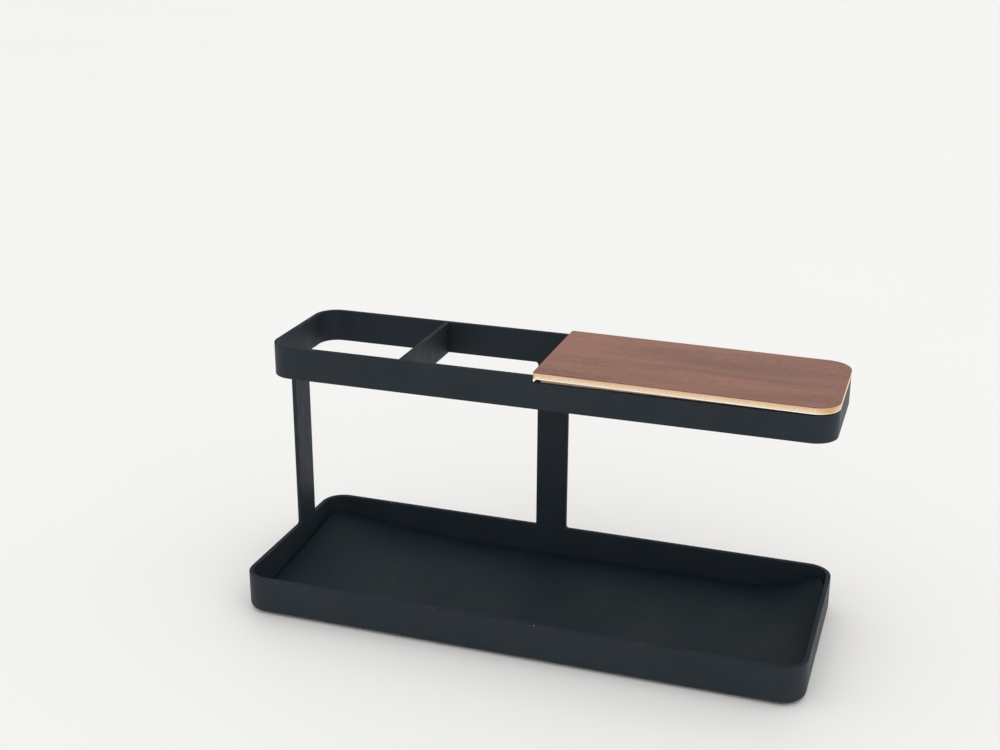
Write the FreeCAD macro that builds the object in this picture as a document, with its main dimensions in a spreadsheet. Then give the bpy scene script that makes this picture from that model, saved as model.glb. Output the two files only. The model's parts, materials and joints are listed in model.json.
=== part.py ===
"""Desk hutch: steel tray, two flat posts, a bent-bar ring with dividers, and a lift-off plywood lid.

Frame: millimetres, +X along the length (lid end), +Y to the rear, +Z up.
Origin: the centre of the footprint on the surface that the hutch stands on.
"""
import FreeCAD
import Part
import Sketcher

import math
import os
import sys

Vector = FreeCAD.Vector
Rotation = FreeCAD.Rotation

DRIVING_SIZES = {
    # tray, pressed from sheet
    "tray_length": 301.0,
    "tray_depth": 115.0,
    "rim_height": 21.5,
    "sheet_gauge": 2.3,
    "corner_radius": 12.7,
    "bottom_edge_radius": 3.0,
    "edge_ease": 0.4,
    # pads under the tray
    "pad_diameter": 12.0,
    "pad_height": 0.8,
    "pad_inset": 20.0,
    # flat bar that makes the ring, the posts and the dividers
    "bar_width": 18.0,
    "ring_depth": 73.0,
    "ring_overhang": 1.3,
    "ring_top": 139.0,
    "rear_post_x": -10.2,
    "pen_divider_x": -73.3,
    "lid_divider_x": 0.8,
    "seat_start_x": -0.8,
    "seat_drop": 3.67,
    "seam_x": 75.0,
    "seam_width": 1.2,
    "seam_crown": 0.3,
    "weld_leg": 1.0,
    "bead_leg": 0.8,
    # lid
    "lid_gap": 0.35,
    "lid_rest": 0.75,
    "lid_tilt": 0.53,
    "lid_small_radius": 1.5,
    "face_veneer": 0.4,
    "face_edge_ease": 0.25,
    "ply_thickness": 0.87,
    "back_veneer": 0.6,
    "board_thickness": 4.0,
    "board_clearance": 0.7,
    # mat
    "mat_thickness": 1.2,
    "mat_gap": 1.0,
    "left_curl_height": 8.5,
    "left_curl_run_x": 105.0,
    "left_curl_run_y": 110.0,
    "right_curl_radius": 34.0,
    "right_curl_run_x": 45.0,
    "right_curl_run_y": 55.0,
}

# a closed rounded outline counts its parts from the front side, anticlockwise
FRONT, FRONT_RIGHT, RIGHT, REAR_RIGHT, REAR, REAR_LEFT, LEFT, FRONT_LEFT = range(8)
START, END, CENTRE = 1, 2, 3
ORIGIN = (-1, 1)

# two heights or lengths closer than this, in millimetres, are the same one
SAME_HEIGHT = 1e-4
SAME_LENGTH = 0.01


class Size:
    """A length with its present value and the expression that ties it to the sheet."""

    def __init__(self, value, text):
        self.value = value
        self.text = text

    @staticmethod
    def of(other):
        return other if isinstance(other, Size) else Size(float(other), str(other))

    def combined(self, other, sign, value):
        return Size(value, f"({self.text} {sign} {other.text})")

    def __add__(self, other):
        other = Size.of(other)
        return self.combined(other, "+", self.value + other.value)

    def __sub__(self, other):
        other = Size.of(other)
        return self.combined(other, "-", self.value - other.value)

    def __mul__(self, factor):
        factor = Size.of(factor)
        return self.combined(factor, "*", self.value * factor.value)

    def __truediv__(self, divisor):
        divisor = Size.of(divisor)
        return self.combined(divisor, "/", self.value / divisor.value)

    def __neg__(self):
        return Size(-self.value, f"(-{self.text})")


doc = FreeCAD.newDocument("DeskHutch")
sheet = doc.addObject("Spreadsheet::Sheet", "spec")


def fill_sheet():
    """Write every driving size into the sheet, and return the sheet's values by name."""
    for row, (name, value) in enumerate(DRIVING_SIZES.items(), start=1):
        sheet.set(f"A{row}", name)
        sheet.set(f"B{row}", str(value))
        sheet.setAlias(f"B{row}", name)
    doc.recompute()
    return {name: Size(sheet.get(name), f"{sheet.Name}.{name}") for name in DRIVING_SIZES}


S = fill_sheet()
ZERO = Size(0.0, "0")

# sizes that several sub-parts share
tray_bottom = S["pad_height"]
tray_floor = tray_bottom + S["sheet_gauge"]
half_length = S["tray_length"] / 2
half_depth = S["tray_depth"] / 2
# the ring is flush with the tray at the left and passes it at the right
ring_length = S["tray_length"] + S["ring_overhang"]
ring_middle_x = S["ring_overhang"] / 2
ring_bottom = S["ring_top"] - S["bar_width"]
ring_middle_y = half_depth - S["ring_depth"] / 2
seat_height = S["ring_top"] - S["seat_drop"]
post_height = ring_bottom - S["rim_height"]
clear_depth = S["ring_depth"] - S["sheet_gauge"] * 2
pen_divider_height = S["bar_width"]
lid_divider_height = S["bar_width"] - S["seat_drop"]
# the lid tips about the line through the centres of its two large corners
lid_pivot_x = ring_middle_x + ring_length / 2 - S["corner_radius"]
lid_pivot_z = seat_height + S["lid_rest"]


def bind(thing, path, size):
    """Tie one property, constraint or placement coordinate to the sheet."""
    thing.setExpression(path, Size.of(size).text)


def place(thing, x, y, z):
    """Put a sub-part at a point whose coordinates follow the sheet."""
    for axis, size in zip("xyz", (x, y, z)):
        bind(thing, f"Placement.Base.{axis}", size)


def new_body(name):
    """One sub-part made of sketched features."""
    body = doc.addObject("PartDesign::Body", name)
    body.Label = name
    return body


def new_sketch(body, name, plane="XY_Plane"):
    """A sketch on one of the body's own origin planes."""
    support = next(item for item in body.Origin.OriginFeatures if item.Role == plane)
    sketch = body.newObject("Sketcher::SketchObject", name)
    sketch.AttachmentSupport = (support, "")
    sketch.MapMode = "FlatFace"
    return sketch


def constrain(sketch, kind, *items):
    """Add one constraint and return its index."""
    return sketch.addConstraint(Sketcher.Constraint(kind, *items))


def constrain_size(sketch, kind, *items):
    """Add one dimension whose last item is a Size, and tie it to the sheet."""
    *references, size = items
    index = constrain(sketch, kind, *references, size.value)
    bind(sketch, f"Constraints[{index}]", size)


def line(start, end):
    return Part.LineSegment(Vector(*start, 0), Vector(*end, 0))


def corner_arc(centre, radius, first_degrees):
    circle = Part.Circle(Vector(*centre, 0), Vector(0, 0, 1), radius)
    first = math.radians(first_degrees)
    return Part.ArcOfCircle(circle, first, first + math.pi / 2)


def rounded_outline(sketch, left, right, front, rear, left_radius, right_radius):
    """Add a closed rounded rectangle. The four sides are given as distances from the origin."""
    x0, x1 = -left.value, right.value
    y0, y1 = -front.value, rear.value
    rl, rr = left_radius.value, right_radius.value
    first = sketch.GeometryCount
    parts = (
        line((x0 + rl, y0), (x1 - rr, y0)),
        corner_arc((x1 - rr, y0 + rr), rr, -90),
        line((x1, y0 + rr), (x1, y1 - rr)),
        corner_arc((x1 - rr, y1 - rr), rr, 0),
        line((x1 - rr, y1), (x0 + rl, y1)),
        corner_arc((x0 + rl, y1 - rl), rl, 90),
        line((x0, y1 - rl), (x0, y0 + rl)),
        corner_arc((x0 + rl, y0 + rl), rl, 180),
    )
    for part in parts:
        sketch.addGeometry(part, False)
    for index in range(len(parts)):
        following = (index + 1) % len(parts)
        constrain(sketch, "Tangent", first + index, END, first + following, START)
    for side in (FRONT, REAR):
        constrain(sketch, "Horizontal", first + side)
    for side in (RIGHT, LEFT):
        constrain(sketch, "Vertical", first + side)
    constrain(sketch, "Equal", first + FRONT_RIGHT, first + REAR_RIGHT)
    constrain(sketch, "Equal", first + FRONT_LEFT, first + REAR_LEFT)
    constrain_size(sketch, "Radius", first + FRONT_RIGHT, right_radius)
    constrain_size(sketch, "Radius", first + FRONT_LEFT, left_radius)
    constrain_size(sketch, "DistanceX", *ORIGIN, first + RIGHT, START, right)
    constrain_size(sketch, "DistanceX", first + LEFT, START, *ORIGIN, left)
    constrain_size(sketch, "DistanceY", *ORIGIN, first + REAR, START, rear)
    constrain_size(sketch, "DistanceY", first + FRONT, START, *ORIGIN, front)


def centred_outline(sketch, length, depth, radius):
    """Add a rounded rectangle centred on the sketch origin."""
    rounded_outline(sketch, length / 2, length / 2, depth / 2, depth / 2, radius, radius)


def concave_fillet(sketch, corner_x, corner_y, leg_x, leg_y):
    """Add the section of a hollow fillet weld in the corner at (corner_x, corner_y).

    leg_x and leg_y are signed: they point from the corner along the two plates.
    """
    cx, cy = corner_x.value, corner_y.value
    lx, ly = leg_x.value, leg_y.value
    along_x = (cx + lx, cy)
    along_y = (cx, cy + ly)
    centre = Vector(cx + lx, cy + ly, 0)
    middle = centre - Vector(lx, ly, 0) / math.sqrt(2)
    first = sketch.GeometryCount
    sketch.addGeometry(line((cx, cy), along_x), False)
    sketch.addGeometry(Part.Arc(Vector(*along_x, 0), middle, Vector(*along_y, 0)), False)
    sketch.addGeometry(line(along_y, (cx, cy)), False)
    base, curve, side = first, first + 1, first + 2
    forward = lx * ly < 0
    near, far = (START, END) if forward else (END, START)
    constrain(sketch, "Coincident", base, END, curve, near)
    constrain(sketch, "Coincident", curve, far, side, START)
    constrain(sketch, "Coincident", side, END, base, START)
    constrain(sketch, "Horizontal", base)
    constrain(sketch, "Vertical", side)
    constrain(sketch, "Vertical", base, END, curve, CENTRE)
    constrain(sketch, "Horizontal", side, START, curve, CENTRE)
    position_point(sketch, base, START, corner_x, corner_y)
    leg = leg_x if lx > 0 else -leg_x
    constrain_size(sketch, "Radius", curve, leg)


def position_point(sketch, geometry, point, x, y):
    """Hold a point at signed distances from the sketch origin."""
    for kind, size in (("DistanceX", x), ("DistanceY", y)):
        if size.value == 0:
            axis = -2 if kind == "DistanceX" else -1
            constrain(sketch, "PointOnObject", geometry, point, axis)
        elif size.value > 0:
            constrain_size(sketch, kind, *ORIGIN, geometry, point, size)
        else:
            constrain_size(sketch, kind, geometry, point, *ORIGIN, -size)


def pad(body, sketch, length, name, midplane=False):
    """Extrude a sketch by a length that follows the sheet."""
    feature = body.newObject("PartDesign::Pad", name)
    feature.Profile = sketch
    feature.Midplane = midplane
    bind(feature, "Length", length)
    sketch.Visibility = False
    doc.recompute()
    return feature


def pocket(body, sketch, length, name, midplane=False, reverse=False):
    """Cut a sketch out of the body, and make sure that it took material away."""
    volume_before = body.Tip.Shape.Volume
    feature = body.newObject("PartDesign::Pocket", name)
    feature.Profile = sketch
    feature.Midplane = midplane
    feature.Reversed = reverse
    bind(feature, "Length", length)
    sketch.Visibility = False
    doc.recompute()
    if feature.Shape.Volume >= volume_before:
        sys.exit(f"{name} removed nothing")
    return feature


def edges_at(shape, height, shortest=0.0):
    """Names of the edges that lie flat at one height."""
    names = []
    for number, edge in enumerate(shape.Edges, start=1):
        box = edge.BoundBox
        flat = abs(box.ZMin - height) < SAME_HEIGHT and abs(box.ZMax - height) < SAME_HEIGHT
        if flat and edge.Length > shortest:
            names.append(f"Edge{number}")
    return names


def fillet(body, base, edges, radius, name):
    """Round the named edges of a feature."""
    feature = body.newObject("PartDesign::Fillet", name)
    feature.Base = (base, edges)
    feature.UseAllEdges = False
    bind(feature, "Radius", radius)
    doc.recompute()
    return feature


def make_base_tray():
    """Drawn sheet tray with round corners, a round lower edge and eased rims."""
    body = new_body("base_tray")
    outline = new_sketch(body, "tray_outline")
    centred_outline(outline, S["tray_length"], S["tray_depth"], S["corner_radius"])
    wall_height = S["rim_height"] - S["pad_height"]
    block = pad(body, outline, wall_height, "tray_block")
    fillet(body, block, edges_at(block.Shape, 0), S["bottom_edge_radius"], "tray_lower_edge")

    hollow_outline = new_sketch(body, "tray_hollow_outline")
    inner_radius = S["corner_radius"] - S["sheet_gauge"]
    inner_length = S["tray_length"] - S["sheet_gauge"] * 2
    inner_depth = S["tray_depth"] - S["sheet_gauge"] * 2
    centred_outline(hollow_outline, inner_length, inner_depth, inner_radius)
    bind(hollow_outline, "AttachmentOffset.Base.z", S["sheet_gauge"])
    hollow = pocket(body, hollow_outline, wall_height, "tray_hollow", reverse=True)
    floor_edge = edges_at(hollow.Shape, S["sheet_gauge"].value)
    inner_edge_radius = S["bottom_edge_radius"] - S["sheet_gauge"]
    formed = fillet(body, hollow, floor_edge, inner_edge_radius, "tray_floor_edge")
    fillet(body, formed, edges_at(formed.Shape, wall_height.value), S["edge_ease"], "tray_rim")
    place(body, ZERO, ZERO, tray_bottom)
    return body


def make_foot_pad(name, x, y):
    """Thin round pad, its lower edge rounded off."""
    body = new_body(name)
    disc = new_sketch(body, f"{name}_disc")
    disc.addGeometry(Part.Circle(Vector(), Vector(0, 0, 1), S["pad_diameter"].value / 2), False)
    constrain(disc, "Coincident", 0, CENTRE, *ORIGIN)
    constrain_size(disc, "Radius", 0, S["pad_diameter"] / 2)
    layer = pad(body, disc, S["pad_height"], f"{name}_layer")
    fillet(body, layer, edges_at(layer.Shape, 0), S["edge_ease"], f"{name}_edge")
    place(body, x, y, ZERO)
    return body


def make_foot_pads():
    """Four pads under the tray corners."""
    pads = []
    for depth_name, side_y in (("front", -1), ("rear", 1)):
        for length_name, side_x in (("left", -1), ("right", 1)):
            x = (half_length - S["pad_inset"]) * side_x
            y = (half_depth - S["pad_inset"]) * side_y
            pads.append(make_foot_pad(f"foot_pad_{depth_name}_{length_name}", x, y))
    return pads


def make_post(name, x, y, along_length):
    """Flat bar standing between the tray rim and the ring, in the plane of the wall below it."""
    body = new_body(name)
    section = new_sketch(body, f"{name}_section")
    wide, thick = S["bar_width"], S["sheet_gauge"]
    if along_length:
        centred_outline(section, wide, thick, S["edge_ease"])
    else:
        centred_outline(section, thick, wide, S["edge_ease"])
    pad(body, section, post_height, f"{name}_bar")
    place(body, x, y, S["rim_height"])
    return body


def make_post_weld(name, x, y, z, along_length, upwards):
    """The two hollow fillets beside one end of a post, as thick as the bar."""
    body = new_body(name)
    body.AllowCompound = True
    plane = "XZ_Plane" if along_length else "YZ_Plane"
    section = new_sketch(body, f"{name}_section", plane)
    edge = S["bar_width"] / 2
    leg = S["weld_leg"]
    leg_up = leg if upwards else -leg
    concave_fillet(section, edge, ZERO, leg, leg_up)
    concave_fillet(section, -edge, ZERO, -leg, leg_up)
    pad(body, section, S["sheet_gauge"], f"{name}_bead", midplane=True)
    place(body, x, y, z)
    return body


def make_posts():
    """Left post on the end wall, rear post on the long wall, each welded top and bottom."""
    wall_middle = S["sheet_gauge"] / 2
    spots = (
        ("left_post", wall_middle - half_length, ring_middle_y, False),
        ("rear_post", S["rear_post_x"], half_depth - wall_middle, True),
    )
    made = []
    for name, x, y, along_length in spots:
        made.append(make_post(name, x, y, along_length))
        made.append(make_post_weld(f"{name}_foot_weld", x, y, S["rim_height"], along_length, True))
        made.append(make_post_weld(f"{name}_head_weld", x, y, ring_bottom, along_length, False))
    return made


def make_top_ring():
    """Bar bent on edge into a ring, with a step in its top edge for the lid and a gap for its seam."""
    body = new_body("top_ring")
    band = new_sketch(body, "ring_band")
    gauge = S["sheet_gauge"]
    centred_outline(band, ring_length, S["ring_depth"], S["corner_radius"])
    inner_length = ring_length - gauge * 2
    centred_outline(band, inner_length, clear_depth, S["corner_radius"] - gauge)
    bar = pad(body, band, S["bar_width"], "ring_bar")

    step = new_sketch(body, "lid_seat_outline", "XZ_Plane")
    overrun = S["seat_drop"]
    step_bottom = S["bar_width"] - S["seat_drop"]
    step_left = S["seat_start_x"] - ring_middle_x
    rectangle_between(step, step_left, ring_length / 2 + overrun, step_bottom, S["bar_width"] + overrun)
    seat = pocket(body, step, S["ring_depth"] + overrun, "lid_seat", midplane=True)

    shortest = gauge.value + SAME_LENGTH
    rims = edges_at(seat.Shape, 0) + edges_at(seat.Shape, S["bar_width"].value, shortest)
    rims += edges_at(seat.Shape, step_bottom.value, shortest)
    fillet(body, seat, rims, S["edge_ease"], "ring_rims")

    seam = new_sketch(body, "seam_outline")
    seam_front = S["ring_depth"] / 2 - gauge * 2
    seam_rear = S["ring_depth"] / 2 + gauge
    half_width = S["seam_width"] / 2
    seam_middle = S["seam_x"] - ring_middle_x
    rectangle_between(seam, seam_middle - half_width, seam_middle + half_width, seam_front, seam_rear)
    pocket(body, seam, S["bar_width"], "seam_gap", reverse=True)
    place(body, ring_middle_x, ring_middle_y, ring_bottom)
    return body


def rectangle_between(sketch, x_low, x_high, y_low, y_high):
    """Add a sharp rectangle between two x and two y positions."""
    corners = ((x_low, y_low), (x_high, y_low), (x_high, y_high), (x_low, y_high))
    first = sketch.GeometryCount
    for index, (x, y) in enumerate(corners):
        next_x, next_y = corners[(index + 1) % 4]
        sketch.addGeometry(line((x.value, y.value), (next_x.value, next_y.value)), False)
    for index in range(4):
        constrain(sketch, "Coincident", first + index, END, first + (index + 1) % 4, START)
        constrain(sketch, "Horizontal" if index % 2 == 0 else "Vertical", first + index)
    position_point(sketch, first, START, x_low, y_low)
    position_point(sketch, first + 2, START, x_high, y_high)


def make_seam_weld():
    """The weld that closes the ring: flush outside, slightly crowned inside."""
    body = new_body("ring_seam_weld")
    section = new_sketch(body, "seam_section")
    half_width = S["seam_width"] / 2
    gauge = S["sheet_gauge"]
    left, right = (-half_width.value, 0), (half_width.value, 0)
    rear_left, rear_right = (left[0], gauge.value), (right[0], gauge.value)
    crown = Part.Arc(Vector(*left, 0), Vector(0, -S["seam_crown"].value, 0), Vector(*right, 0))
    section.addGeometry(crown, False)
    section.addGeometry(line(right, rear_right), False)
    section.addGeometry(line(rear_right, rear_left), False)
    section.addGeometry(line(rear_left, left), False)
    for index in range(4):
        constrain(section, "Coincident", index, END, (index + 1) % 4, START)
    constrain(section, "Vertical", 1)
    constrain(section, "Horizontal", 2)
    constrain(section, "Vertical", 3)
    position_point(section, 0, END, half_width, ZERO)
    constrain(section, "PointOnObject", 0, START, -1)
    position_point(section, 2, END, -half_width, gauge)
    chord_radius = (half_width * half_width + S["seam_crown"] * S["seam_crown"]) / (S["seam_crown"] * 2)
    constrain_size(section, "Radius", 0, chord_radius)
    pad(body, section, S["bar_width"] - S["seat_drop"], "seam_bead")
    place(body, S["seam_x"], half_depth - gauge, ring_bottom)
    return body


def make_divider(name, x, height):
    """Flat plate across the ring, its long edges eased."""
    body = new_body(name)
    section = new_sketch(body, f"{name}_section", "XZ_Plane")
    centred_outline(section, S["sheet_gauge"], height, S["edge_ease"])
    pad(body, section, clear_depth, f"{name}_plate", midplane=True)
    place(body, x, ring_middle_y, ring_bottom + height / 2)
    return body


def make_divider_weld(name, x, height, side):
    """Two hollow fillets in the corners between one face of a divider and the ring."""
    body = new_body(name)
    body.AllowCompound = True
    section = new_sketch(body, f"{name}_section")
    leg = S["bead_leg"]
    face_x = ZERO
    wall = clear_depth / 2
    concave_fillet(section, face_x, wall, leg * side, -leg)
    concave_fillet(section, face_x, -wall, leg * side, leg)
    pad(body, section, height - S["edge_ease"] * 2, f"{name}_bead")
    place(body, x + S["sheet_gauge"] / 2 * side, ring_middle_y, ring_bottom + S["edge_ease"])
    return body


def make_dividers():
    """One plate between the two pen slots, and a lower one that closes the lid's end of them."""
    spots = (
        ("pen_divider", S["pen_divider_x"], pen_divider_height, -1),
        ("lid_divider", S["lid_divider_x"], lid_divider_height, 1),
    )
    made = []
    for name, x, height, weld_side in spots:
        made.append(make_divider(name, x, height))
        made.append(make_divider_weld(f"{name}_welds", x, height, weld_side))
    return made


def make_lid_layer(name, bottom, thickness, outline, ease=None):
    """One layer of the lid, given by its sides measured from the line that the lid tips about."""
    body = new_body(name)
    shape = new_sketch(body, f"{name}_outline")
    rounded_outline(shape, *outline)
    bind(shape, "AttachmentOffset.Base.z", bottom)
    layer = pad(body, shape, thickness, f"{name}_sheet")
    if ease:
        upper_edge = edges_at(layer.Shape, bottom.value + thickness.value)
        fillet(body, layer, upper_edge, ease, f"{name}_upper_edge")
    # an angle other than zero keeps the axis while the sheet takes the angle over
    body.Placement = FreeCAD.Placement(Vector(), Rotation(Vector(0, 1, 0), 1.0))
    bind(body, "Placement.Rotation.Angle", S["lid_tilt"])
    place(body, lid_pivot_x, ring_middle_y, lid_pivot_z)
    return body


def make_lid():
    """Faced plywood lid, from its back veneer up, and the locating board glued under it."""
    half_lid_depth = S["ring_depth"] / 2
    lid_left = lid_pivot_x - S["seat_start_x"] - S["lid_gap"]
    small, large = S["lid_small_radius"], S["corner_radius"]
    lid_outline = (lid_left, large, half_lid_depth, half_lid_depth, small, large)
    layers = (
        ("lid_back_veneer", S["back_veneer"], None),
        ("lid_ply_lower", S["ply_thickness"], None),
        ("lid_ply_cross", S["ply_thickness"], None),
        ("lid_ply_upper", S["ply_thickness"], None),
        ("lid_face_veneer", S["face_veneer"], S["face_edge_ease"]),
    )
    made = []
    bottom = ZERO
    for name, thickness, ease in layers:
        made.append(make_lid_layer(name, bottom, thickness, lid_outline, ease))
        bottom = bottom + thickness

    clearance = S["board_clearance"]
    board_half_depth = clear_depth / 2 - clearance
    board_left = lid_pivot_x - S["lid_divider_x"] - S["sheet_gauge"] / 2 - clearance
    board_right = large - S["sheet_gauge"] - clearance
    board_outline = (board_left, board_right, board_half_depth, board_half_depth, small, board_right)
    thickness = S["board_thickness"]
    made.append(make_lid_layer("lid_locating_board", -thickness, thickness, board_outline))
    return made


def mat_lift(x, y, half_x, half_y):
    """Height of the mat's underside above the tray floor: flat, but for its two curled rear corners."""
    from_rear = half_y - y
    toward_left = 1 - (half_x + x) / S["left_curl_run_x"].value - from_rear / S["left_curl_run_y"].value
    left_lift = S["left_curl_height"].value * max(toward_left, 0.0) ** 2

    run_x, run_y = S["right_curl_run_x"].value, S["right_curl_run_y"].value
    toward_right = max(1 - (half_x - x) / run_x - from_rear / run_y, 0.0)
    past_fold = toward_right * run_x * run_y / math.hypot(run_x, run_y)
    right_lift = past_fold * past_fold / (2 * S["right_curl_radius"].value)
    return left_lift + right_lift


def mat_underside(half_x, half_y, overhang):
    """Smooth surface through a grid of heights, reaching past the mat's outline by the overhang."""
    pole_spacing = 7.0
    degree = 3

    def positions(half):
        reach = half + overhang
        count = round(2 * reach / pole_spacing) + 1
        return [reach * (2 * index / (count - 1) - 1) for index in range(count)]

    def knots_and_multiplicities(count):
        spans = count - degree
        ends = degree + 1
        return list(range(spans + 1)), [ends] + [1] * (spans - 1) + [ends]

    columns, rows = positions(half_x), positions(half_y)
    poles = []
    for x in columns:
        inner_x = max(min(x, half_x), -half_x)
        poles.append([Vector(x, y, mat_lift(inner_x, min(y, half_y), half_x, half_y)) for y in rows])
    knots_x, multiplicities_x = knots_and_multiplicities(len(columns))
    knots_y, multiplicities_y = knots_and_multiplicities(len(rows))
    surface = Part.BSplineSurface()
    surface.buildFromPolesMultsKnots(
        poles, multiplicities_x, multiplicities_y, knots_x, knots_y, False, False, degree, degree
    )
    return surface


def make_mat():
    """Thin soft sheet laid in the tray, its two rear corners curled up against the walls."""
    edge_to_rim = S["sheet_gauge"].value + S["mat_gap"].value
    half_x = half_length.value - edge_to_rim
    half_y = half_depth.value - edge_to_rim
    corner = S["corner_radius"].value - edge_to_rim
    thickness = S["mat_thickness"].value
    surface = mat_underside(half_x, half_y, corner)
    sheet_slab = surface.toShape().extrude(Vector(0, 0, thickness))

    below = Vector(-half_x, -half_y, -thickness)
    plan = Part.makeBox(2 * half_x, 2 * half_y, S["rim_height"].value, below)
    upright = [edge for edge in plan.Edges if edge.BoundBox.ZLength > thickness]
    plan = plan.makeFillet(corner, upright)
    mat = doc.addObject("Part::Feature", "tray_mat")
    mat.Label = "tray_mat"
    mat.Shape = plan.common(sheet_slab).Solids[0]
    place(mat, ZERO, ZERO, tray_floor)
    return mat


def failed(thing):
    """True when the document marks an object as broken."""
    return any(state in ("Invalid", "Error") for state in thing.State)


def check_and_export(sub_parts):
    """Stop on any broken object or shape, then write one STEP file for each sub-part."""
    doc.recompute()
    broken = [thing.Name for thing in doc.Objects if failed(thing)]
    if broken:
        sys.exit(f"failed objects: {broken}")
    for sub_part in sub_parts:
        shape = sub_part.Shape
        if shape.isNull() or not shape.isValid() or not shape.Solids:
            sys.exit(f"{sub_part.Label} has no valid solid")
    os.makedirs("parts", exist_ok=True)
    for sub_part in sub_parts:
        shape = sub_part.Shape
        shape.exportStep(f"parts/{sub_part.Label}.step")
        box = shape.BoundBox
        low = f"{box.XMin:.2f} {box.YMin:.2f} {box.ZMin:.2f}"
        high = f"{box.XMax:.2f} {box.YMax:.2f} {box.ZMax:.2f}"
        print(f"{sub_part.Label}: {len(shape.Solids)} solid, {shape.Volume:.1f} mm3, {low} to {high}")


sub_parts = [make_base_tray(), *make_foot_pads(), make_mat()]
sub_parts += make_posts()
sub_parts += [make_top_ring(), make_seam_weld()]
sub_parts += make_dividers()
sub_parts += make_lid()
check_and_export(sub_parts)
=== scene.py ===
"""Looks for the desk hutch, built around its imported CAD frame.

Metres, +X along the length towards the lid, +Y to the rear, +Z up, origin at the footprint's centre.
The steel, the lid's layers and the pads are CAD nodes with finished materials. The mat is a new sheet.
"""
import json
import math

import bmesh
import bpy
from mathutils import Matrix, Vector, noise
from mathutils.bvhtree import BVHTree


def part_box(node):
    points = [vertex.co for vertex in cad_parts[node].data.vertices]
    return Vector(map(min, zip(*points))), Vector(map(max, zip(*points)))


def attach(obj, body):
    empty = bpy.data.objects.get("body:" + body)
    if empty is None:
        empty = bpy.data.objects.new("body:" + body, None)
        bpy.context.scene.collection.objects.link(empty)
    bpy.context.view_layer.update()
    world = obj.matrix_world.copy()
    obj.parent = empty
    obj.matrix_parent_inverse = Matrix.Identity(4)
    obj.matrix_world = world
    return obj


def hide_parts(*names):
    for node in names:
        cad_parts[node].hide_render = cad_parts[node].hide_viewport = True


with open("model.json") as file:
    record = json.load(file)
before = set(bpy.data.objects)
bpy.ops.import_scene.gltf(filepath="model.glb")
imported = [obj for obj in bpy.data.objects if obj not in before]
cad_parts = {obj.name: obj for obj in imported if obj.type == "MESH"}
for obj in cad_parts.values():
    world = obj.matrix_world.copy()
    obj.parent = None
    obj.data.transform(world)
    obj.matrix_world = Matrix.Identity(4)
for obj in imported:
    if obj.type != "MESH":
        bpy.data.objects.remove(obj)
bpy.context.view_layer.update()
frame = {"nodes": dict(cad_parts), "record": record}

MM = 0.001
scene = bpy.context.scene


# ---------------------------------------------------------------- camera

CAMERA_PLACE = Vector((0.2026, -0.6670, 0.3828))
CAMERA_YAW = math.radians(18.68)
CAMERA_PITCH = math.radians(19.63)
CAMERA_ROLL = math.radians(0.2)
CAMERA_LENS = 51.57
SENSOR_WIDTH = 36.0


def make_camera():
    """Camera to the right of the object's middle, turned towards -X and looking down on it."""
    data = bpy.data.cameras.new("photo_camera")
    data.lens = CAMERA_LENS
    data.sensor_width = SENSOR_WIDTH
    data.clip_start = 0.02
    data.clip_end = 30.0
    camera = bpy.data.objects.new("photo_camera", data)
    scene.collection.objects.link(camera)

    level = math.cos(CAMERA_PITCH)
    forward = Vector((-math.sin(CAMERA_YAW) * level, math.cos(CAMERA_YAW) * level, -math.sin(CAMERA_PITCH)))
    right = Vector((math.cos(CAMERA_YAW), math.sin(CAMERA_YAW), 0.0))
    up = right.cross(forward)
    turn = Matrix.Rotation(-CAMERA_ROLL, 3, forward)
    right, up = turn @ right, turn @ up
    facing = Matrix((right, up, -forward)).transposed().to_4x4()
    camera.matrix_world = Matrix.Translation(CAMERA_PLACE) @ facing
    scene.camera = camera


# ---------------------------------------------------------------- node helpers

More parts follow.
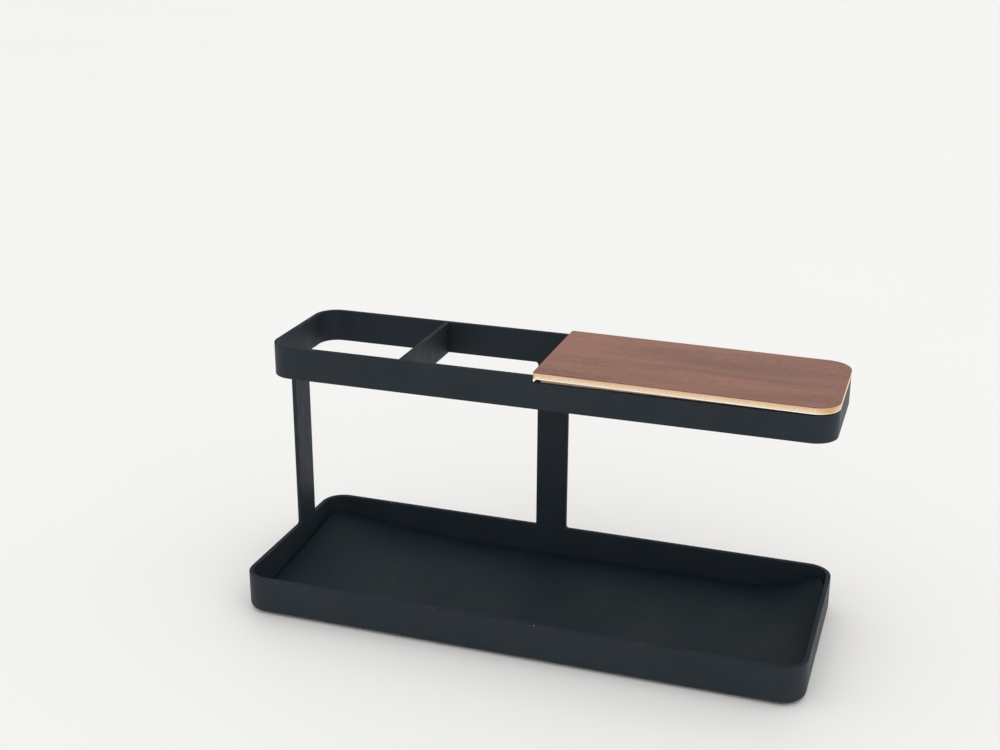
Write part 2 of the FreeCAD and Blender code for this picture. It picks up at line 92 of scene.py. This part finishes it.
class Shader:
    """Node tree of one material. Each method adds one step and returns its output socket."""

    def __init__(self, name):
        self.material = bpy.data.materials.new(name)
        self.material.use_nodes = True
        self.tree = self.material.node_tree
        self.tree.nodes.clear()
        self.surface = self.add("ShaderNodeBsdfPrincipled")
        output = self.add("ShaderNodeOutputMaterial")
        self.tree.links.new(self.surface.outputs[0], output.inputs[0])
        coordinates = self.add("ShaderNodeTexCoord")
        self.place = coordinates.outputs["Object"]
        self.normal = coordinates.outputs["Normal"]

    def add(self, kind, **settings):
        node = self.tree.nodes.new(kind)
        for name, value in settings.items():
            setattr(node, name, value)
        return node

    def feed(self, target, value):
        """Link a socket, or set a plain value."""
        if isinstance(value, bpy.types.NodeSocket):
            self.tree.links.new(value, target)
        else:
            target.default_value = value

    def finish(self, **inputs):
        """Set the surface's inputs by name, with underscores for spaces, and return the material."""
        for name, value in inputs.items():
            self.feed(self.surface.inputs[name.replace("_", " ")], value)
        return self.material

    def math(self, operation, a, b=0.0, c=0.0):
        node = self.add("ShaderNodeMath", operation=operation)
        for target, value in zip(node.inputs, (a, b, c)):
            self.feed(target, value)
        return node.outputs[0]

    def times(self, *factors):
        product = factors[0]
        for factor in factors[1:]:
            product = self.math("MULTIPLY", product, factor)
        return product

    def remap(self, value, low, high, new_low=0.0, new_high=1.0, smooth=False):
        node = self.add("ShaderNodeMapRange", interpolation_type="SMOOTHSTEP" if smooth else "LINEAR")
        for target, number in zip(node.inputs, (value, low, high, new_low, new_high)):
            self.feed(target, number)
        return node.outputs[0]

    def mix(self, share, first, second):
        node = self.add("ShaderNodeMix", data_type="RGBA", clamp_factor=True)
        self.feed(node.inputs["Factor"], share)
        colours = [socket for socket in node.inputs if socket.type == "RGBA"]
        self.feed(colours[0], first)
        self.feed(colours[1], second)
        return next(socket for socket in node.outputs if socket.type == "RGBA")

    def stretched(self, cell, shift=(0.0, 0.0, 0.0), place=None):
        """Coordinates in which one unit is cell = (x, y, z) metres."""
        node = self.add("ShaderNodeMapping", vector_type="POINT")
        self.feed(node.inputs["Vector"], self.place if place is None else place)
        node.inputs["Scale"].default_value = [1 / length for length in cell]
        node.inputs["Location"].default_value = shift
        return node.outputs[0]

    def along(self, vector, direction):
        """Length of a vector's part along a fixed direction."""
        node = self.add("ShaderNodeVectorMath", operation="DOT_PRODUCT")
        self.feed(node.inputs[0], vector)
        node.inputs[1].default_value = direction
        return node.outputs["Value"]

    def noise(self, vector, detail=2.0, roughness=0.5, distortion=0.0):
        node = self.add("ShaderNodeTexNoise")
        self.feed(node.inputs["Vector"], vector)
        node.inputs["Scale"].default_value = 1.0
        node.inputs["Detail"].default_value = detail
        node.inputs["Roughness"].default_value = roughness
        node.inputs["Distortion"].default_value = distortion
        return node.outputs["Fac"]

    def cells(self, vector, feature="F1"):
        node = self.add("ShaderNodeTexVoronoi", feature=feature)
        self.feed(node.inputs["Vector"], vector)
        node.inputs["Scale"].default_value = 1.0
        return node.outputs["Distance"]

    def bump(self, height, distance, strength=1.0):
        node = self.add("ShaderNodeBump")
        node.inputs["Distance"].default_value = distance
        node.inputs["Strength"].default_value = strength
        self.feed(node.inputs["Height"], height)
        return node.outputs[0]

    def between_faces(self, *axes):
        """1 where the surface slants at 45 degrees to an axis, 0 where it is square to it or along it."""
        total = None
        for axis in axes:
            facing = self.along(self.normal, axis)
            square = self.math("MULTIPLY", facing, facing)
            slant = self.times(square, self.math("SUBTRACT", 1.0, square), 4.0)
            total = slant if total is None else self.math("MAXIMUM", total, slant)
        return total


def shade(colour, factor):
    """A colour made darker or lighter by a factor, opaque."""
    return [channel * factor for channel in colour[:3]] + [1]


def give(material, *nodes):
    """Put a material in every slot of these CAD nodes."""
    for name in nodes:
        for slot in frame["nodes"][name].material_slots:
            slot.material = material


# ---------------------------------------------------------------- steel

UP, ACROSS = (0.0, 0.0, 1.0), (1.0, 0.0, 0.0)


def powder_coat(name, *edge_axes):
    """Matte blue-black powder coat: sandy, faintly mottled, dulled on top, chipped at edges, and paler in
    patches on slanted edges, partly rubbed wear and partly painted highlight.
    """
    s = Shader(name)
    mottling = s.noise(s.stretched((26 * MM,) * 3), detail=4.0)
    smudges = s.noise(s.stretched((7 * MM, 7 * MM, 11 * MM), (4.0, 1.0, 2.0)), detail=3.0)
    grain = s.noise(s.stretched((0.42 * MM,) * 3), detail=2.0)
    colour = s.mix(s.remap(mottling, 0.3, 0.7), (0.0072, 0.0135, 0.0205, 1), (0.0112, 0.0180, 0.0262, 1))
    colour = s.mix(s.remap(grain, 0.45, 0.75, 0.0, 0.45), colour, (0.020, 0.029, 0.038, 1))

    edge = s.between_faces(*edge_axes)
    patches = s.noise(s.stretched((17 * MM,) * 3, (0.4, 2.3, 0.0)), detail=5.0, roughness=0.7)
    # paler slanted edges in patches: partly rubbed wear, partly painted highlight where the rounded edges
    # catch the light
    rub_and_highlight = s.times(s.remap(edge, 0.5, 0.95), s.remap(patches, 0.52, 0.70, 0.0, 0.8))
    colour = s.mix(rub_and_highlight, colour, (0.110, 0.102, 0.088, 1))

    chip_shape = s.remap(s.cells(s.stretched((1.9 * MM,) * 3)), 0.16, 0.24, 1.0, 0.0)
    chip_sparse = s.remap(s.noise(s.stretched((13 * MM,) * 3, (3.1, 0.7, 5.2))), 0.60, 0.64)
    chip = s.times(chip_shape, chip_sparse, s.remap(edge, 0.05, 0.4))
    colour = s.mix(chip, colour, (0.27, 0.23, 0.19, 1))

    peel = s.noise(s.stretched((1.5 * MM,) * 3), detail=1.0)
    height = s.math("ADD", s.times(peel, 0.5), s.times(grain, 0.5))
    height = s.math("SUBTRACT", height, s.times(chip, 0.9))
    roughness = s.remap(smudges, 0.3, 0.7, 0.50, 0.60)
    upper = s.remap(s.along(s.normal, UP), 0.3, 0.9)
    roughness = s.math("ADD", roughness, s.times(upper, 0.12))
    return s.finish(
        Base_Color=colour,
        Roughness=roughness,
        Specular_IOR_Level=s.remap(upper, 0.0, 1.0, 0.28, 0.13),
        Metallic=s.times(chip, 0.6),
        Normal=s.bump(height, 0.06 * MM, 0.55),
    )


# ---------------------------------------------------------------- lid

def widest_face(node):
    """Normal of a lid layer's upper face, and the layer's lower and upper distance along it."""
    mesh = frame["nodes"][node].data
    upper = max((face for face in mesh.polygons if face.normal.z > 0.9), key=lambda face: face.area)
    normal = upper.normal.copy()
    distances = [vertex.co.dot(normal) for vertex in mesh.vertices]
    return normal, min(distances), max(distances)


def walnut(name, pale, dark, sheen):
    """Open-pored walnut veneer, grain along X, under a thin satin lacquer."""
    s = Shader(name)
    drift = s.noise(s.stretched((0.11, 0.028, 0.1)), detail=1.0)
    wander = s.add("ShaderNodeCombineXYZ")
    s.feed(wander.inputs["Y"], s.times(s.math("SUBTRACT", drift, 0.5), 22 * MM))
    moved = s.add("ShaderNodeVectorMath", operation="ADD")
    s.feed(moved.inputs[0], s.place)
    s.feed(moved.inputs[1], wander.outputs[0])
    along_grain = moved.outputs[0]

    broad_cells = s.stretched((0.16, 19 * MM, 0.1), (1.7, 4.2, 0.0), along_grain)
    broad = s.noise(broad_cells, detail=3.0, roughness=0.55)
    band_cells = s.stretched((0.055, 3.2 * MM, 0.05), (0.3, 1.1, 0.0), along_grain)
    bands = s.noise(band_cells, detail=3.0, roughness=0.6)
    fibre_cells = s.stretched((4.5 * MM, 0.50 * MM, 4 * MM), place=along_grain)
    fibres = s.noise(fibre_cells, detail=4.0, roughness=0.7)
    colour = s.mix(s.remap(broad, 0.30, 0.72, smooth=True), pale, dark)
    colour = s.mix(s.remap(bands, 0.46, 0.74, 0.0, 0.32, smooth=True), colour, dark)
    colour = s.mix(s.remap(fibres, 0.46, 0.72, 0.0, 0.55), colour, shade(dark, 0.45))
    light_cells = s.stretched((9 * MM, 0.5 * MM, 4 * MM), (7.0, 3.0, 1.0), along_grain)
    light_fibres = s.noise(light_cells, detail=2.0)
    colour = s.mix(s.remap(light_fibres, 0.56, 0.78, 0.0, 0.35), colour, shade(pale, 1.35))

    pore_cells = s.stretched((3.6 * MM, 0.17 * MM, 2 * MM), (2.0, 9.0, 4.0), along_grain)
    pores = s.noise(pore_cells, detail=1.0)
    cluster_cells = s.stretched((34 * MM, 3.0 * MM, 9 * MM), (5.0, 2.0, 0.0), along_grain)
    clusters = s.remap(s.noise(cluster_cells), 0.38, 0.62)
    pore = s.times(s.remap(pores, 0.60, 0.70), s.math("MULTIPLY_ADD", clusters, 0.75, 0.25))
    colour = s.mix(s.times(pore, 0.8), colour, shade(dark, 0.18))

    height = s.math("SUBTRACT", s.times(fibres, 0.2), pore)
    return s.finish(
        Base_Color=colour,
        Roughness=s.math("ADD", s.remap(fibres, 0.3, 0.7, 0.40, 0.48), s.times(pore, 0.15)),
        Specular_IOR_Level=sheen,
        Normal=s.bump(height, 0.035 * MM, 0.7),
    )


def ply(node, pale, dark, end_grain, corner, along_x):
    """Birch ply edge: fibres along the grain, dots across it, amber where the edge turns round the plan
    corners.
    """
    s = Shader(node)
    normal, lower, upper = widest_face(node)
    level = s.along(s.place, normal)
    length_cell, fine_cell = 14 * MM, 0.30 * MM
    fibre_cell = (length_cell, fine_cell, fine_cell) if along_x else (fine_cell, length_cell, fine_cell)
    fibres = s.noise(s.stretched(fibre_cell), detail=3.0, roughness=0.6)
    ticks = s.noise(s.stretched((0.8 * MM, 0.8 * MM, 1.6 * MM)), detail=2.0)
    side = s.along(s.normal, ACROSS)
    side = s.math("MULTIPLY", side, side)
    end = side if along_x else s.math("SUBTRACT", 1.0, side)
    tone = s.noise(s.stretched((17 * MM, 17 * MM, 3 * MM)), detail=3.0)
    colour = s.mix(s.remap(fibres, 0.35, 0.75, 0.0, 0.7), pale, dark)
    colour = s.mix(s.times(end, s.remap(ticks, 0.38, 0.66, 0.10, 0.70)), colour, end_grain)
    colour = s.mix(s.times(s.between_faces(ACROSS), 0.95), colour, corner)
    colour = s.mix(s.remap(tone, 0.42, 0.72, 0.0, 0.45), colour, dark)
    glue = 0.07 * MM
    nearest = s.math("MINIMUM", s.math("SUBTRACT", level, lower), s.math("SUBTRACT", upper, level))
    colour = s.mix(s.remap(nearest, 0.3 * glue, glue, 0.22, 0.0), colour, (0.42, 0.26, 0.14, 1))
    return s.finish(
        Base_Color=colour,
        Roughness=0.60,
        Specular_IOR_Level=0.28,
        Normal=s.bump(s.math("ADD", fibres, s.times(ticks, 0.6)), 0.05 * MM, 0.5),
    )


def board_wood():
    """Sanded pale board with straight grain along X and open end grain."""
    s = Shader("board_wood")
    bands = s.noise(s.stretched((0.14, 5 * MM, 3 * MM)), detail=4.0, roughness=0.6, distortion=0.3)
    fibres = s.noise(s.stretched((11 * MM, 0.4 * MM, 0.4 * MM)), detail=3.0, roughness=0.6)
    colour = s.mix(s.remap(bands, 0.3, 0.7), (0.90, 0.64, 0.44, 1), (0.78, 0.52, 0.33, 1))
    colour = s.mix(s.remap(fibres, 0.45, 0.75, 0.0, 0.5), colour, (0.56, 0.34, 0.20, 1))
    side = s.along(s.normal, ACROSS)
    colour = s.mix(s.times(side, side, 0.5), colour, (0.40, 0.23, 0.12, 1))
    return s.finish(
        Base_Color=colour,
        Roughness=s.remap(fibres, 0.3, 0.7, 0.55, 0.68),
        Specular_IOR_Level=0.3,
        Normal=s.bump(fibres, 0.05 * MM, 0.6),
    )


def pad_foam():
    """Closed-cell black foam with a dusty skin and painted shade in its pits."""
    s = Shader("pad_foam")
    pits = s.cells(s.stretched((0.35 * MM,) * 3))
    dust = s.noise(s.stretched((3 * MM,) * 3), detail=3.0)
    # painted shade: each pit darker towards its middle
    colour = s.mix(s.remap(pits, 0.1, 0.6), (0.010, 0.010, 0.011, 1), (0.030, 0.030, 0.032, 1))
    colour = s.mix(s.remap(dust, 0.5, 0.8, 0.0, 0.4), colour, (0.075, 0.072, 0.068, 1))
    return s.finish(Base_Color=colour, Roughness=0.88, Normal=s.bump(pits, 0.08 * MM, 0.7))


# ---------------------------------------------------------------- mat

MAT_CORNER = 9.4 * MM
MAT_THICKNESS = 1.2 * MM
MAT_EDGE_ROUND = 0.42 * MM
MAT_GRID = 2.4 * MM
MAT_WAVE = 0.22 * MM
MAT_WAVE_CELL = (0.055, 0.045)
MAT_WAVE_SEED = 3.7
EDGE_ROWS = (1.2 * MM, 2.4 * MM, 4.2 * MM)
SMOOTHING_ROUNDS = 3
PROBE_INSET = 0.6 * MM
PROBE_HEIGHT = 20 * MM


def leather_sheet():
    """Black pebbled leather board: fine rounded grain, creases between the pebbles with painted shade in
    them, a soft sheen.
    """
    s = Shader("mat_sheet")
    tone = s.noise(s.stretched((42 * MM,) * 3), detail=4.0)
    colour = s.mix(s.remap(tone, 0.3, 0.7), (0.0038, 0.0114, 0.0172, 1), (0.0050, 0.0134, 0.0198, 1))
    pebble = s.cells(s.stretched((0.85 * MM,) * 3), feature="SMOOTH_F1")
    fine = s.noise(s.stretched((0.28 * MM,) * 3), detail=2.0)
    # painted shade: the creases between the pebbles are darker
    colour = s.mix(s.remap(pebble, 0.35, 0.75, 0.0, 0.6), colour, (0.0022, 0.0042, 0.0058, 1))
    handled = s.noise(s.stretched((24 * MM, 60 * MM, 30 * MM), (2.0, 5.0, 0.0)), detail=3.0)
    colour = s.mix(s.remap(handled, 0.55, 0.8, 0.0, 0.20), colour, (0.010, 0.017, 0.022, 1))
    height = s.math("SUBTRACT", s.times(fine, 0.3), s.times(pebble, pebble))
    return s.finish(
        Base_Color=colour,
        Roughness=s.remap(handled, 0.35, 0.7, 0.62, 0.72),
        Specular_IOR_Level=0.16,
        Sheen_Weight=0.01,
        Sheen_Roughness=0.5,
        Sheen_Tint=(0.75, 0.9, 1.0, 1),
        Normal=s.bump(height, 0.10 * MM, 0.55),
    )


def spaced(reach, fine_rows):
    """Positions from -reach to reach: even in the middle, and close together at both ends."""
    inner = reach - fine_rows[-1]
    count = math.ceil(2 * inner / MAT_GRID)
    middle = [inner * (2 * index / count - 1) for index in range(1, count)]
    left = [-reach + row for row in fine_rows]
    return left + middle + [-place for place in reversed(left)]


def on_rounded_plan(x, y, half_x, half_y, corner):
    """A point of the square plan moved into the round-cornered one, and its distance from the edge."""
    over_x, over_y = abs(x) - (half_x - corner), abs(y) - (half_y - corner)
    if over_x <= 0 or over_y <= 0:
        return x, y, min(half_x - abs(x), half_y - abs(y))
    a, b = over_x / corner, over_y / corner
    round_x = a * math.sqrt(1 - b * b / 2) * corner
    round_y = b * math.sqrt(1 - a * a / 2) * corner
    edge = corner - math.hypot(round_x, round_y)
    new_x = math.copysign(half_x - corner + round_x, x)
    new_y = math.copysign(half_y - corner + round_y, y)
    return new_x, new_y, max(edge, 0.0)


def make_mat():
    """The mat as a cut sheet that follows the CAD mat: rounded edges, slow waves, curled rear corners."""
    low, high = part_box("tray_mat")
    middle = (low + high) / 2
    half_x, half_y = (high.x - low.x) / 2, (high.y - low.y) / 2
    solid = BVHTree.FromObject(frame["nodes"]["tray_mat"], bpy.context.evaluated_depsgraph_get())
    rounding = [MAT_EDGE_ROUND * (1 - math.cos(math.radians(angle))) for angle in (0, 30, 60, 90)]
    fine_rows = rounding + list(EDGE_ROWS)
    columns, rows = spaced(half_x, fine_rows), spaced(half_y, fine_rows)

    def top_height(x, y):
        inward = 1 - PROBE_INSET / half_y
        start = Vector((middle.x + x * inward, middle.y + y * inward, high.z + PROBE_HEIGHT))
        return solid.ray_cast(start, Vector((0, 0, -1)))[0].z

    plan = [[on_rounded_plan(x, y, half_x, half_y, MAT_CORNER) for y in rows] for x in columns]
    tops = [[top_height(x, y) for x, y, _ in line] for line in plan]
    for _ in range(SMOOTHING_ROUNDS):
        tops = smoothed(tops)

    mesh = bmesh.new()
    upper, under = [], []
    for line, heights in zip(plan, tops):
        upper_line, under_line = [], []
        for (x, y, edge), top in zip(line, heights):
            spot = Vector((x / MAT_WAVE_CELL[0], y / MAT_WAVE_CELL[1], MAT_WAVE_SEED))
            wave = noise.noise(spot) * 0.5 + 0.5
            top += MAT_WAVE * wave
            fall = max(1 - edge / MAT_EDGE_ROUND, 0.0)
            drop = MAT_EDGE_ROUND * (1 - math.sqrt(1 - fall * fall))
            upper_line.append(mesh.verts.new((middle.x + x, middle.y + y, top - drop)))
            under_line.append(mesh.verts.new((middle.x + x, middle.y + y, top - MAT_THICKNESS + drop)))
        upper.append(upper_line)
        under.append(under_line)

    last_x, last_y = len(columns) - 1, len(rows) - 1
    for i in range(last_x):
        for j in range(last_y):
            mesh.faces.new((upper[i][j], upper[i + 1][j], upper[i + 1][j + 1], upper[i][j + 1]))
            mesh.faces.new((under[i][j], under[i][j + 1], under[i + 1][j + 1], under[i + 1][j]))
    rim = [(i, 0) for i in range(last_x)] + [(last_x, j) for j in range(last_y)]
    rim += [(i, last_y) for i in range(last_x, 0, -1)] + [(0, j) for j in range(last_y, 0, -1)]
    for (i, j), (k, m) in zip(rim, rim[1:] + rim[:1]):
        mesh.faces.new((under[i][j], under[k][m], upper[k][m], upper[i][j]))
    for face in mesh.faces:
        face.smooth = True
    data = bpy.data.meshes.new("mat_sheet")
    mesh.to_mesh(data)
    mesh.free()
    data.materials.append(leather_sheet())
    mat = bpy.data.objects.new("laid_mat", data)
    scene.collection.objects.link(mat)
    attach(mat, "mat")
    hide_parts("tray_mat")


def smoothed(heights):
    """Each height averaged with its neighbours along both directions of the grid."""
    last_i, last_j = len(heights) - 1, len(heights[0]) - 1
    result = []
    for i, line in enumerate(heights):
        new_line = []
        for j, height in enumerate(line):
            around = heights[max(i - 1, 0)][j] + heights[min(i + 1, last_i)][j]
            around += line[max(j - 1, 0)] + line[min(j + 1, last_j)]
            new_line.append(height / 2 + around / 8)
        result.append(new_line)
    return result


# ---------------------------------------------------------------- stage

FLOOR_REACH = 8.0
ROOM_STRENGTH = 0.90
ROOM_LEAN = (0.14, -0.05, 0.26)


def make_floor():
    """Plain pale table top."""
    mesh = bpy.data.meshes.new("floor")
    corners = [(x * FLOOR_REACH, y * FLOOR_REACH, 0.0) for x, y in ((-1, -1), (1, -1), (1, 1), (-1, 1))]
    mesh.from_pydata(corners, [], [(0, 1, 2, 3)])
    floor = bpy.data.objects.new("floor", mesh)
    scene.collection.objects.link(floor)
    s = Shader("floor")
    tone = s.noise(s.stretched((0.5, 0.5, 0.5)), detail=2.0)
    colour = s.mix(tone, (0.845, 0.845, 0.84, 1), (0.87, 0.87, 0.862, 1))
    mesh.materials.append(s.finish(Base_Color=colour, Roughness=0.5, Specular_IOR_Level=0.3))


def make_light():
    """A white room all around, a little brighter overhead and on the lid's side."""
    world = bpy.data.worlds.new("room")
    scene.world = world
    world.use_nodes = True
    tree = world.node_tree
    tree.nodes.clear()
    direction = tree.nodes.new("ShaderNodeTexCoord")
    lean = tree.nodes.new("ShaderNodeVectorMath")
    lean.operation = "DOT_PRODUCT"
    tree.links.new(direction.outputs["Generated"], lean.inputs[0])
    lean.inputs[1].default_value = ROOM_LEAN
    strength = tree.nodes.new("ShaderNodeMath")
    strength.operation = "ADD"
    tree.links.new(lean.outputs["Value"], strength.inputs[0])
    strength.inputs[1].default_value = ROOM_STRENGTH
    background = tree.nodes.new("ShaderNodeBackground")
    background.inputs["Color"].default_value = (1.0, 0.995, 0.985, 1)
    tree.links.new(strength.outputs[0], background.inputs["Strength"])
    output = tree.nodes.new("ShaderNodeOutputWorld")
    tree.links.new(background.outputs[0], output.inputs[0])


def dress_frame():
    """Give every CAD node its finished material."""
    steel = [row["node"] for row in frame["record"]["subparts"] if row["material_slot"] == "powder_coat"]
    bars = [name for name in steel if name in ("left_post", "rear_post", "pen_divider", "lid_divider")]
    give(powder_coat("powder_coat", UP), *steel)
    give(powder_coat("powder_coat_bars", UP, ACROSS), *bars)
    white, milk, cream = (1.0, 0.96, 0.86, 1), (0.98, 0.88, 0.73, 1), (0.90, 0.76, 0.57, 1)
    straw, tan, amber = (0.82, 0.56, 0.35, 1), (0.68, 0.44, 0.26, 1), (0.64, 0.34, 0.13, 1)
    face_pale, face_dark = (0.292, 0.112, 0.066, 1), (0.172, 0.064, 0.039, 1)
    give(walnut("walnut_veneer", face_pale, face_dark, 0.30), "lid_face_veneer")
    give(ply("lid_ply_upper", straw, tan, tan, amber, True), "lid_ply_upper")
    give(ply("lid_ply_cross", cream, straw, tan, amber, False), "lid_ply_cross")
    give(ply("lid_ply_lower", cream, straw, tan, amber, True), "lid_ply_lower")
    give(ply("lid_back_veneer", white, milk, straw, straw, True), "lid_back_veneer")
    give(board_wood(), "lid_locating_board")
    give(pad_foam(), *[name for name in frame["nodes"] if name.startswith("foot_pad")])


make_camera()
dress_frame()
make_mat()
make_floor()
make_light()
scene.view_settings.view_transform = "Standard"
